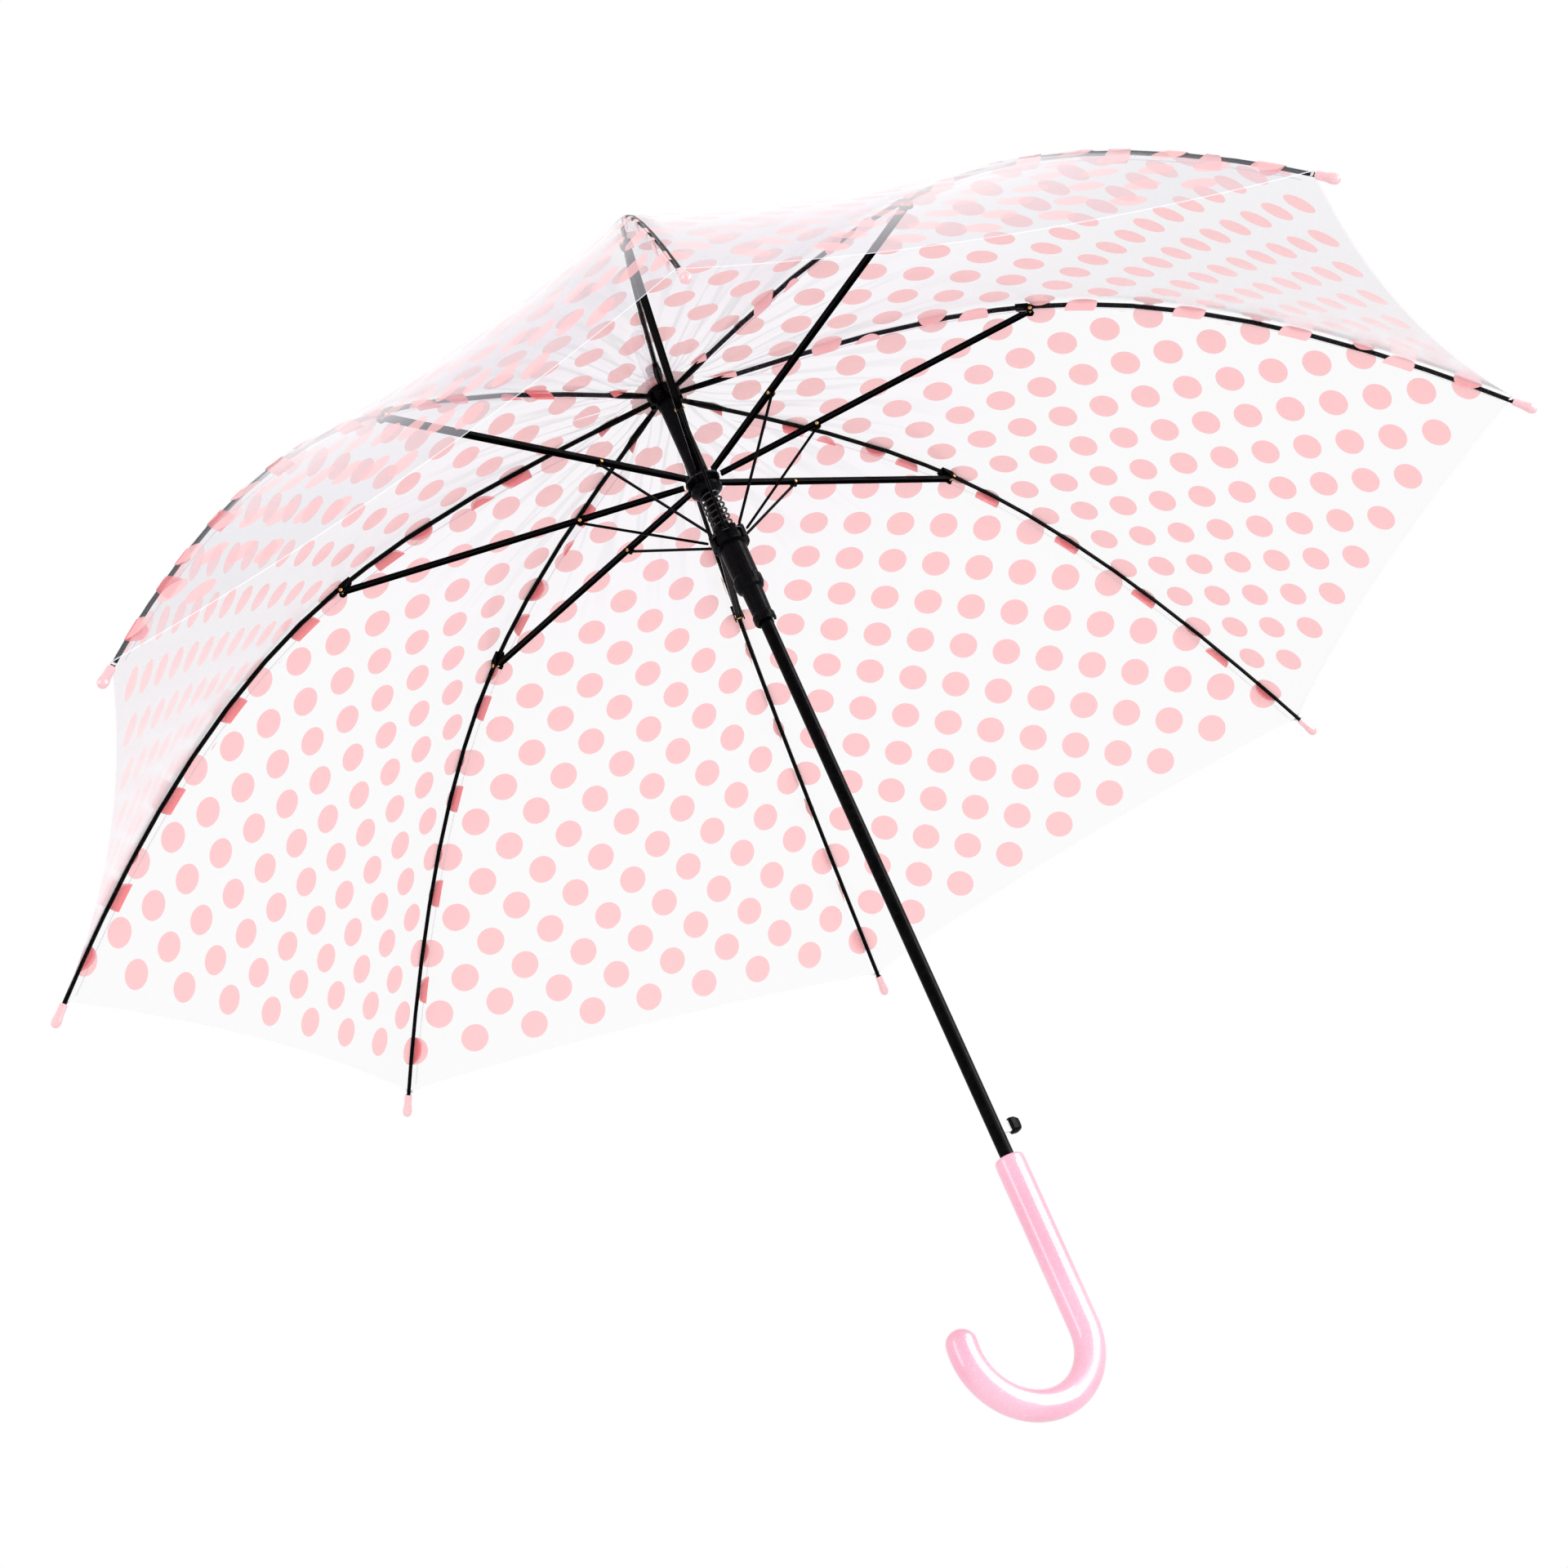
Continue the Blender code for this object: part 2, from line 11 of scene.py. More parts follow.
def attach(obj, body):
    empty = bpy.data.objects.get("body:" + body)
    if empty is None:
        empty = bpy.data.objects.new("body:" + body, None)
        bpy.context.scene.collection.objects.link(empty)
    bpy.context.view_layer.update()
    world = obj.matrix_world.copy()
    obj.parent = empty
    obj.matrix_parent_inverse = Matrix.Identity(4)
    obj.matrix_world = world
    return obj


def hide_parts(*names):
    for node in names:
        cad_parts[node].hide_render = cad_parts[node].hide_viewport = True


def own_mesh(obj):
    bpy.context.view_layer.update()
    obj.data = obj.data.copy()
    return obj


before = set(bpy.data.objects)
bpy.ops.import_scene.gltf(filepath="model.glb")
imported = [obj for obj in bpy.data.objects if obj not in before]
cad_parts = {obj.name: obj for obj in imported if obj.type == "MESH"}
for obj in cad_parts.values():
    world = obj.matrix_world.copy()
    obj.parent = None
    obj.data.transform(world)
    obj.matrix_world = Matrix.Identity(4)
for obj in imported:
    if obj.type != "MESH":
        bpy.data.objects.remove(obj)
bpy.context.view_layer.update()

# ---------------------------------------------------------------- the frame's sizes, as the CAD has them (mm)
CROWN_Z = 590.0
RIBS, RIB_AZIMUTH, RIB_STEP = 8, -30.0, -45.0
RIB_PIVOT, RIB_KNEE, RIB_END = (9.5, -6.0), (226.4, -43.8), (459.3, -229.6)
RIB_SLOPES = (0.10, 0.366, 1.20)
BRACKET_DROP = 2.9
RUNNER_PIVOT = (10.3, -70.0)
STRUT_SHARE, STRUT_DROP = 0.3107, 2.3
RING_PIVOT = (11.0, -112.5)
FILM_GAP = 1.75  # film's surface above a rib's centre line
SEAM_SIDE = (1, 1, -1, -1, 1, 1, 1, -1)  # which side of each rib the seam's welded edge hangs on
SEAM_OFFSET = 1.8
SEAM_DEPTH = 8.0
SAG = 0.030
RIM_HOLLOW = 8.0
FILM_INNER = 5.0


def at(x, y, z):
    return (x / 1000, y / 1000, (z + CROWN_Z) / 1000)


def azimuth_of(k):
    return math.radians(RIB_AZIMUTH + k * RIB_STEP)


def spot(azimuth, radial, tangential, z):
    c, s = math.cos(azimuth), math.sin(azimuth)
    return (c * radial - s * tangential, s * radial + c * tangential, z)


def bezier(p0, slope0, p1, slope1, n):
    reach = (p1[0] - p0[0]) / 3
    a = (p0[0] + reach, p0[1] - slope0 * reach)
    b = (p1[0] - reach, p1[1] + slope1 * reach)
    t = np.linspace(0, 1, n + 1)[:, None]
    p0, a, b, p1 = (np.array(v, float) for v in (p0, a, b, p1))
    return (1 - t) ** 3 * p0 + 3 * t * (1 - t) ** 2 * a + 3 * t**2 * (1 - t) * b + t**3 * p1


def lengths(curve):
    return np.concatenate([[0], np.cumsum(np.linalg.norm(np.diff(curve, axis=0), axis=1))])


INNER = bezier(RIB_PIVOT, RIB_SLOPES[0], RIB_KNEE, RIB_SLOPES[1], 400)
OUTER = bezier(RIB_KNEE, RIB_SLOPES[1], RIB_END, RIB_SLOPES[2], 400)
RIB = np.concatenate([INNER, OUTER[1:]])
RIB_S = lengths(RIB)
INNER_LENGTH, FULL = RIB_S[400], RIB_S[-1]


def rib_at(s):
    """((radius, height), tangent, upward normal) s millimetres along a rib's centre line, straight on past its ends."""
    within = min(max(s, 0.0), FULL)
    p = np.array([np.interp(within, RIB_S, RIB[:, k]) for k in (0, 1)])
    q = np.array([np.interp(min(within + 1, FULL), RIB_S, RIB[:, k]) for k in (0, 1)])
    o = np.array([np.interp(max(within - 1, 0), RIB_S, RIB[:, k]) for k in (0, 1)])
    t = (q - o) / np.linalg.norm(q - o)
    return p + t * (s - within), t, np.array([-t[1], t[0]])


KNEE, KNEE_ALONG, KNEE_UP = rib_at(INNER_LENGTH)
BRACKET = KNEE - BRACKET_DROP * KNEE_UP
FOOT, RING = np.array(RUNNER_PIVOT), np.array(RING_PIVOT)
STRETCH = float(np.linalg.norm(BRACKET - FOOT))
ALONG = (BRACKET - FOOT) / STRETCH
ABOVE = np.array([-ALONG[1], ALONG[0]])
STRUT = FOOT + STRUT_SHARE * STRETCH * ALONG - STRUT_DROP * ABOVE

# ---------------------------------------------------------------- node helpers for materials


def new_material(name):
    m = bpy.data.materials.new(name)
    m.use_nodes = True
    nodes, links = m.node_tree.nodes, m.node_tree.links
    return m, nodes, links, nodes["Principled BSDF"]


def maths(nodes, links, operation, a, b=None, c=None, clamp=False):
    n = nodes.new("ShaderNodeMath")
    n.operation, n.use_clamp = operation, clamp
    for i, v in enumerate((a, b, c)):
        if v is None:
            continue
        if isinstance(v, (int, float)):
            n.inputs[i].default_value = v
        else:
            links.new(v, n.inputs[i])
    return n.outputs[0]


def ramp(nodes, links, value, low, high, to_low=0.0, to_high=1.0):
    n = nodes.new("ShaderNodeMapRange")
    n.interpolation_type = "SMOOTHSTEP"
    links.new(value, n.inputs[0])
    for i, v in enumerate((low, high, to_low, to_high)):
        n.inputs[i + 1].default_value = v
    return n.outputs[0]


def mixed(nodes, links, share, a, b):
    n = nodes.new("ShaderNodeMix")
    n.data_type = "RGBA"
    links.new(share, n.inputs[0])
    for socket, v in ((n.inputs[6], a), (n.inputs[7], b)):
        if isinstance(v, tuple):
            socket.default_value = (*v, 1.0)
        else:
            links.new(v, socket)
    return n.outputs[2]


def noise(nodes, links, scale, detail=2.0, stretch=(1, 1, 1), source="Object"):
    where = nodes.new("ShaderNodeTexCoord")
    mapping = nodes.new("ShaderNodeMapping")
    mapping.inputs["Scale"].default_value = stretch
    links.new(where.outputs[source], mapping.inputs[0])
    n = nodes.new("ShaderNodeTexNoise")
    n.inputs["Scale"].default_value = scale
    n.inputs["Detail"].default_value = detail
    links.new(mapping.outputs[0], n.inputs["Vector"])
    return n.outputs[0]


def bumped(nodes, links, p, height, strength, distance):
    b = nodes.new("ShaderNodeBump")
    b.inputs["Strength"].default_value = strength
    b.inputs["Distance"].default_value = distance
    links.new(height, b.inputs["Height"])
    links.new(b.outputs[0], p.inputs["Normal"])


def film_material(name, flange_ink_and_painted_light, flange_cover):
    """Clear film printed with dots: two square lattices of them make one turned by 45 degrees."""
    m, nodes, links, p = new_material(name)
    gore = nodes.new("ShaderNodeUVMap")
    gore.uv_map = "gore"
    edge = nodes.new("ShaderNodeUVMap")
    edge.uv_map = "edge"
    split, split_edge = nodes.new("ShaderNodeSeparateXYZ"), nodes.new("ShaderNodeSeparateXYZ")
    links.new(gore.outputs[0], split.inputs[0])
    links.new(edge.outputs[0], split_edge.inputs[0])
    u, v = split.outputs[0], split.outputs[1]

    def lattice(du, dv):
        x = maths(nodes, links, "WRAP", maths(nodes, links, "SUBTRACT", u, du), DOT_ALONG / 2, -DOT_ALONG / 2)
        y = maths(nodes, links, "WRAP", maths(nodes, links, "SUBTRACT", v, dv), DOT_ACROSS, -DOT_ACROSS)
        return maths(nodes, links, "SQRT", maths(nodes, links, "ADD", maths(nodes, links, "MULTIPLY", x, x), maths(nodes, links, "MULTIPLY", y, y)))

    nearest = maths(nodes, links, "MINIMUM", lattice(0.0, DOT_FIRST), lattice(DOT_ALONG / 2, DOT_FIRST + DOT_ACROSS))
    ink_edge = maths(nodes, links, "MULTIPLY", maths(nodes, links, "SUBTRACT", noise(nodes, links, 900.0), 0.5), 0.0003)
    nearest = maths(nodes, links, "ADD", nearest, ink_edge)
    dot = ramp(nodes, links, nearest, DOT_RADIUS - 0.0001, DOT_RADIUS + 0.0002, 1.0, 0.0)
    # no dots on the bare margin along the rim
    dot = maths(nodes, links, "MULTIPLY", dot, ramp(nodes, links, v, DOT_FIRST - 0.0110, DOT_FIRST - 0.0105))

    ink = mixed(nodes, links, noise(nodes, links, 700.0, 3.0), DOT_COLOUR, tuple(min(1.0, c * 1.10) for c in DOT_COLOUR))
    # thin folds that run down from the crown and beside the seams, with painted shade: each is streaked dark grey and
    # made less clear
    fold_noise = nodes.new("ShaderNodeTexNoise")
    fold_noise.inputs["Detail"].default_value = 1.5
    fold_noise.inputs["Scale"].default_value = 1.0
    stretch = nodes.new("ShaderNodeCombineXYZ")
    links.new(maths(nodes, links, "MULTIPLY", maths(nodes, links, "DIVIDE", u, maths(nodes, links, "ADD", split_edge.outputs[0], 0.03)), 5.5), stretch.inputs[0])
    links.new(maths(nodes, links, "MULTIPLY", v, 5.0), stretch.inputs[1])
    where = nodes.new("ShaderNodeTexCoord")
    cells = nodes.new("ShaderNodeVectorMath")
    cells.operation = "ADD"
    links.new(stretch.outputs[0], cells.inputs[0])
    links.new(where.outputs["Object"], cells.inputs[1])
    links.new(cells.outputs[0], fold_noise.inputs["Vector"])
    ridge = maths(nodes, links, "ABSOLUTE", maths(nodes, links, "SUBTRACT", fold_noise.outputs[0], 0.5))
    ridge = ramp(nodes, links, ridge, 0.004, 0.085, 1.0, 0.0)
    near_crown = ramp(nodes, links, v, 0.27, 0.46)
    painted_fold_shade = maths(nodes, links, "MULTIPLY", ridge, near_crown)
    # the seam's welded edge is clear, so only the dots that cross it show, with a fine line at its free edge
    inside = maths(nodes, links, "SUBTRACT", split_edge.outputs[0], maths(nodes, links, "ABSOLUTE", u))
    flange = ramp(nodes, links, inside, -0.0010, -0.0002, 1.0, 0.0)
    free_edge = ramp(nodes, links, maths(nodes, links, "ABSOLUTE", maths(nodes, links, "ADD", inside, 0.0075)), 0.0001, 0.0005, 1.0, 0.0)
    # welded edges: a clear line along each seam and round the hem
    hem = ramp(nodes, links, split_edge.outputs[1], 0.0012, 0.0022, 1.0, 0.0)

    # painted reflection: the film's two faces both reflect the room, more and more towards grazing, painted as a paler
    # colour and a higher alpha
    weight = nodes.new("ShaderNodeLayerWeight")
    weight.inputs["Blend"].default_value = 0.5
    one = maths(nodes, links, "ADD", maths(nodes, links, "MULTIPLY", maths(nodes, links, "POWER", weight.outputs["Facing"], 4.0), 0.96), 0.035)
    glance = maths(nodes, links, "DIVIDE", maths(nodes, links, "MULTIPLY", one, 2.0), maths(nodes, links, "ADD", one, 1.0))
    # beside a seam the film hugs the rib, which shows through it
    by_seam = ramp(nodes, links, inside, 0.002, 0.012, 0.22, 1.0)
    veil = maths(nodes, links, "MULTIPLY", ramp(nodes, links, glance, 0.10, 0.50), by_seam)
    sheen = maths(nodes, links, "MULTIPLY", ramp(nodes, links, glance, 0.42, 0.92), by_seam)
    bare_alpha = maths(nodes, links, "ADD", maths(nodes, links, "MULTIPLY", veil, 0.22), maths(nodes, links, "ADD", maths(nodes, links, "MULTIPLY", ramp(nodes, links, v, 0.20, 0.42), 0.03), CLEAR_ALPHA))
    bare_alpha = maths(nodes, links, "ADD", bare_alpha, maths(nodes, links, "MULTIPLY", sheen, 0.58))
    bare_alpha = maths(nodes, links, "ADD", bare_alpha, maths(nodes, links, "MULTIPLY", painted_fold_shade, 0.17), clamp=True)
    bare_alpha = maths(nodes, links, "MULTIPLY", bare_alpha, maths(nodes, links, "SUBTRACT", 1.0, maths(nodes, links, "MULTIPLY", flange, 0.92)))
    bare_alpha = maths(nodes, links, "MAXIMUM", bare_alpha, maths(nodes, links, "MULTIPLY", free_edge, 0.30))
    bare_alpha = maths(nodes, links, "MAXIMUM", bare_alpha, maths(nodes, links, "MULTIPLY", hem, 0.70))
    bare = mixed(nodes, links, ramp(nodes, links, v, 0.20, 0.42), FILM_COLOUR, CROWN_COLOUR)
    # painted reflection: towards grazing the bare film pales
    bare = mixed(nodes, links, sheen, bare, GRAZING_COLOUR)
    # painted shade: dark grey along the folds
    bare = mixed(nodes, links, painted_fold_shade, bare, (0.40, 0.42, 0.46))
    bare = mixed(nodes, links, hem, bare, (0.93, 0.92, 0.95))
    # the doubled ink on the seam's flange takes the colour passed in, part the ink's own depth and part painted light
    ink = mixed(nodes, links, flange, ink, flange_ink_and_painted_light)
    # painted reflection: towards grazing the dots pale too
    printed = mixed(nodes, links, maths(nodes, links, "MULTIPLY", sheen, 0.75), ink, GRAZING_COLOUR)
    links.new(mixed(nodes, links, dot, bare, printed), p.inputs["Base Color"])
    alpha = nodes.new("ShaderNodeMix")
    alpha.data_type = "FLOAT"
    links.new(dot, alpha.inputs[0])
    links.new(bare_alpha, alpha.inputs[2])
    cover = maths(nodes, links, "ADD", maths(nodes, links, "MULTIPLY", flange, flange_cover - DOT_ALPHA), DOT_ALPHA)
    links.new(cover, alpha.inputs[3])
    links.new(alpha.outputs[0], p.inputs["Alpha"])
    p.inputs["Roughness"].default_value = 0.16
    p.inputs["IOR"].default_value = 1.45
    p.inputs["Specular IOR Level"].default_value = 0.25
    bumped(nodes, links, p, fold_noise.outputs[0], 0.12, 0.002)
    return m


DOT_ALONG, DOT_ACROSS, DOT_FIRST, DOT_RADIUS = 0.0416, 0.0210, 0.0280, 0.00925
DOT_COLOUR, DOT_ALPHA = (0.90, 0.435, 0.452), 0.78
FILM_COLOUR, CROWN_COLOUR, GRAZING_COLOUR, CLEAR_ALPHA = (0.57, 0.56, 0.62), (0.66, 0.42, 0.66), (0.95, 0.90, 0.95), 0.095


def black_metal():
    """Gloss black enamel on steel, with a faint orange peel and wear to a greyer black."""
    m, nodes, links, p = new_material("black_enamel")
    grain = noise(nodes, links, 260.0, 4.0)
    links.new(mixed(nodes, links, ramp(nodes, links, grain, 0.45, 0.8), (0.0006, 0.0006, 0.0009), (0.0026, 0.0026, 0.0034)), p.inputs["Base Color"])
    links.new(ramp(nodes, links, grain, 0.3, 0.7, 0.20, 0.34), p.inputs["Roughness"])
    p.inputs["Specular IOR Level"].default_value = 0.03
    bumped(nodes, links, p, grain, 0.10, 0.0002)
    return m


def black_plastic():
    """Moulded black plastic, with a slight mottle."""
    m, nodes, links, p = new_material("black_moulding")
    grain = noise(nodes, links, 420.0, 3.0)
    links.new(mixed(nodes, links, grain, (0.0008, 0.0008, 0.0012), (0.0028, 0.0029, 0.0042)), p.inputs["Base Color"])
    links.new(ramp(nodes, links, grain, 0.3, 0.7, 0.24, 0.36), p.inputs["Roughness"])
    p.inputs["Specular IOR Level"].default_value = 0.04
    bumped(nodes, links, p, grain, 0.12, 0.0002)
    return m


def pearl(name, deep, pale, roughness):
    """Pearl plastic: two pinks marbled at a small scale under a clear coat."""
    m, nodes, links, p = new_material(name)
    flake = noise(nodes, links, 900.0, 2.0)
    cloud = noise(nodes, links, 28.0, 3.0, (1, 1, 0.35))
    weight = nodes.new("ShaderNodeLayerWeight")
    weight.inputs["Blend"].default_value = 0.45
    share = maths(nodes, links, "ADD", maths(nodes, links, "MULTIPLY", ramp(nodes, links, cloud, 0.35, 0.65), 0.45), maths(nodes, links, "MULTIPLY", ramp(nodes, links, flake, 0.52, 0.72), 0.45), clamp=True)
    base = mixed(nodes, links, share, deep, pale)
    # painted shade: the pink deepens towards its outline
    base = mixed(nodes, links, maths(nodes, links, "MULTIPLY", maths(nodes, links, "POWER", weight.outputs["Facing"], 2.0), 0.45), base, tuple(c * d for c, d in zip(deep, (0.92, 0.72, 0.80))))
    links.new(base, p.inputs["Base Color"])
    p.inputs["Roughness"].default_value = roughness
    p.inputs["Coat Weight"].default_value = 1.0
    p.inputs["Coat IOR"].default_value = 1.6
    p.inputs["Coat Roughness"].default_value = 0.05
    p.inputs["Specular IOR Level"].default_value = 0.75
    bumped(nodes, links, p, flake, 0.012, 0.0002)
    return m


def metal(name, colour, roughness):
    m, nodes, links, p = new_material(name)
    grain = noise(nodes, links, 1500.0, 2.0)
    links.new(mixed(nodes, links, grain, tuple(c * 0.8 for c in colour), colour), p.inputs["Base Color"])
    links.new(ramp(nodes, links, grain, 0.3, 0.7, roughness - 0.06, roughness + 0.08), p.inputs["Roughness"])
    p.inputs["Metallic"].default_value = 1.0
    return m


def clear_plastic():
    """Clear moulding, a little cloudy."""
    m, nodes, links, p = new_material("clear_moulding")
    grain = noise(nodes, links, 300.0, 2.0)
    links.new(mixed(nodes, links, grain, (0.74, 0.72, 0.76), (0.84, 0.81, 0.85)), p.inputs["Base Color"])
    p.inputs["Roughness"].default_value = 0.25
    weight = nodes.new("ShaderNodeLayerWeight")
    weight.inputs["Blend"].default_value = 0.5
    links.new(maths(nodes, links, "ADD", maths(nodes, links, "MULTIPLY", weight.outputs["Facing"], 0.35), 0.22), p.inputs["Alpha"])
    return m


def pale_plastic():
    m, nodes, links, p = new_material("pale_moulding")
    grain = noise(nodes, links, 500.0, 2.0)
    links.new(mixed(nodes, links, grain, (0.84, 0.80, 0.83), (0.92, 0.89, 0.91)), p.inputs["Base Color"])
    p.inputs["Roughness"].default_value = 0.35
    return m


# a doubled layer of ink covers the rib where it hangs in front of one; its colour is partly painted light: a deep red
# painted as glowing red against the light, and beside ribs 5 to 7 a paler pink painted as lit
FILM = film_material("clear_dotted_film", (0.93, 0.20, 0.22), 0.66)
FILM_PAINTED_LIT = film_material("clear_dotted_film_painted_lit", (0.98, 0.56, 0.58), 0.93)
BLACK, MOULDED = black_metal(), black_plastic()
HANDLE_PINK = pearl("handle_pearl", (0.82, 0.35, 0.48), (0.92, 0.54, 0.66), 0.40)
TIP_PINK = pearl("tip_pink", (0.80, 0.44, 0.47), (0.90, 0.60, 0.64), 0.32)
BRASS = metal("brass", (0.62, 0.36, 0.13), 0.35)
STEEL = metal("dark_spring_steel", (0.045, 0.045, 0.05), 0.30)
PALE, CLEAR = pale_plastic(), clear_plastic()

# ---------------------------------------------------------------- mesh helpers


def make(name, points, faces, mat, body, smooth=True, slot=None):
    mesh = bpy.data.meshes.new(name)
    mesh.from_pydata([at(*p) for p in points], [], [tuple(f) for f in faces])
    mesh.validate()
    bm = bmesh.new()
    bm.from_mesh(mesh)
    bmesh.ops.recalc_face_normals(bm, faces=bm.faces)
    bm.to_mesh(mesh)
    bm.free()
    for polygon in mesh.polygons:
        polygon.use_smooth = smooth
    mesh.materials.append(mat)
    obj = bpy.data.objects.new(name, mesh)
    bpy.context.scene.collection.objects.link(obj)
    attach(obj, body)
    return obj


def skin(loops, closed=False):
    """(points, faces) over loops of equal length, capped unless closed."""
    n, points, faces = len(loops[0]), [tuple(p) for loop in loops for p in loop], []
    for i in range(len(loops) if closed else len(loops) - 1):
        a, b = i * n, ((i + 1) % len(loops)) * n
        faces += [(a + j, a + (j + 1) % n, b + (j + 1) % n, b + j) for j in range(n)]
    if not closed:
        faces += [tuple(range(n))[::-1], tuple(range((len(loops) - 1) * n, len(loops) * n))]
    return points, faces


def joined(parts):
    points, faces = [], []
    for p, f in parts:
        base = len(points)
        points += p
        faces += [tuple(base + i for i in face) for face in f]
    return points, faces


def wire(path, radius, n=8, closed=False):
    """A round wire along points, as (points, faces)."""
    path = np.array(path, float)
    count = len(path)
    loops = []
    side = None
    for i in range(count):
        a, b = path[(i - 1) % count if closed else max(i - 1, 0)], path[(i + 1) % count if closed else min(i + 1, count - 1)]
        t = (b - a) / np.linalg.norm(b - a)
        if side is None:
            side = np.cross(t, [0, 0, 1.0])
            if np.linalg.norm(side) < 1e-3:
                side = np.cross(t, [1.0, 0, 0])
        side = side - t * side.dot(t)
        side /= np.linalg.norm(side)
        up = np.cross(t, side)
        loops.append([path[i] + radius * (math.cos(2 * math.pi * k / n) * side + math.sin(2 * math.pi * k / n) * up) for k in range(n)])
    return skin(loops, closed)


def pin(centre, axis, half, radius, n=14):
    """A riveted pin: a shank with a domed head at each end."""
    axis = np.array(axis, float) / np.linalg.norm(axis)
    side = np.cross(axis, [0, 0, 1.0]) if abs(axis[2]) < 0.9 else np.cross(axis, [1.0, 0, 0])
    side /= np.linalg.norm(side)
    up = np.cross(axis, side)
    profile = [(-half - 0.55, 0.25 * radius), (-half - 0.45, 0.7 * radius), (-half - 0.15, radius), (-half, radius), (-half, 0.55 * radius), (half, 0.55 * radius), (half, radius), (half + 0.15, radius), (half + 0.45, 0.7 * radius), (half + 0.55, 0.25 * radius)]
    loops = [[np.array(centre) + a * axis + r * (math.cos(2 * math.pi * k / n) * side + math.sin(2 * math.pi * k / n) * up) for k in range(n)] for a, r in profile]
    return skin(loops)


def sector(r0, r1, z0, z1, a0, a1, steps=4, bevel=0.35):
    """A lug: part of a ring between two angles, with its edges eased."""
    loops = []
    for i in range(steps + 1):
        a = a0 + (a1 - a0) * i / steps
        ease = bevel if i in (0, steps) else 0.0
        ring = [(r0, z0 + ease), (r0, z1 - ease), (r1 - bevel, z1 - ease), (r1 - ease, z1 - bevel - ease), (r1 - ease, z0 + bevel + ease), (r1 - bevel, z0 + ease)]
        loops.append([(r * math.cos(a), r * math.sin(a), z) for r, z in ring])
    return skin(loops)


# ---------------------------------------------------------------- film


def seam_point(k, s):
    """Where the two gores meet over rib k, s along it."""
    p, _, up = rib_at(s)
    lifted = p + FILM_GAP * up
    share = min(max((lifted[0] - 11.5) / 30.0, 0.0), 1.0)
    share = share * share * (3 - 2 * share)
    z = share * lifted[1] + (1 - share) * -0.42
    # azimuths fall as k grows, so the side towards the next rib is the negative tangent
    off = -SEAM_SIDE[k % RIBS] * SEAM_OFFSET * min(1.0, max(0.0, (lifted[0] - 14.0) / 20.0))
    return np.array(spot(azimuth_of(k % RIBS), lifted[0], off, z))


def seam_inward(k, s):
    """The way the seam's welded edge hangs."""
    _, _, up = rib_at(s)
    lean = 0.16 * -SEAM_SIDE[k % RIBS]
    v = np.array(spot(azimuth_of(k % RIBS), -up[0], lean, -up[1]))
    return v / np.linalg.norm(v)


def centre_arc():
    """Arc length along a gore's centre line, from the straight line between two tips, against s."""
    s = np.linspace(-(RIB_PIVOT[0] - FILM_INNER), FULL, 500)
    mid = np.array([(seam_point(0, v) + seam_point(1, v)) / 2 for v in s])
    arc = lengths(mid)
    return s, arc[-1] - arc


ARC_S, ARC_V = centre_arc()
FIRST = -(RIB_PIVOT[0] - FILM_INNER)
FILM_END = FULL - 1.0


def gore_point(k, s, t):
    """(point, u, v, distance from rim) on gore k, which lies between ribs k and k + 1."""
    hollow = RIM_HOLLOW * 4 * t * (1 - t)
    s1 = FIRST + (s - FIRST) * (FILM_END - hollow - FIRST) / (FILM_END - FIRST)
    a, b = seam_point(k, s1), seam_point(k + 1, s1)
    c, d = seam_point(k, s1 + 1), seam_point(k + 1, s1 + 1)
    chord = b - a
    width = np.linalg.norm(chord)
    along = (c + d - a - b) / 2
    along /= np.linalg.norm(along)
    inward = np.cross(chord / width, along)
    if inward[2] > 0:
        inward = -inward
    inward /= np.linalg.norm(inward)
    bow = SAG * width * 4 * t * (1 - t)
    # small folds gathered by the crown, and a slight pucker beside the seams
    angle = (t - 0.5) * 2
    gather = 1.1 * math.exp(-((width - 40) / 70) ** 2) * math.sin(9.5 * angle + 1.7 * k) * math.sin(5.3 * angle + 0.9 * k + 0.02 * s)
    pucker = 0.5 * math.exp(-(min(t, 1 - t) * width / 14)) * math.sin(0.19 * s + 2.1 * k)
    p = a + chord * t + inward * (bow + (gather + pucker) * 4 * t * (1 - t) ** 1.0 * min(1.0, width / 30))
    return p, (t - 0.5) * width, float(np.interp(s1, ARC_S, ARC_V)), (FILM_END - s) * 1.0, width


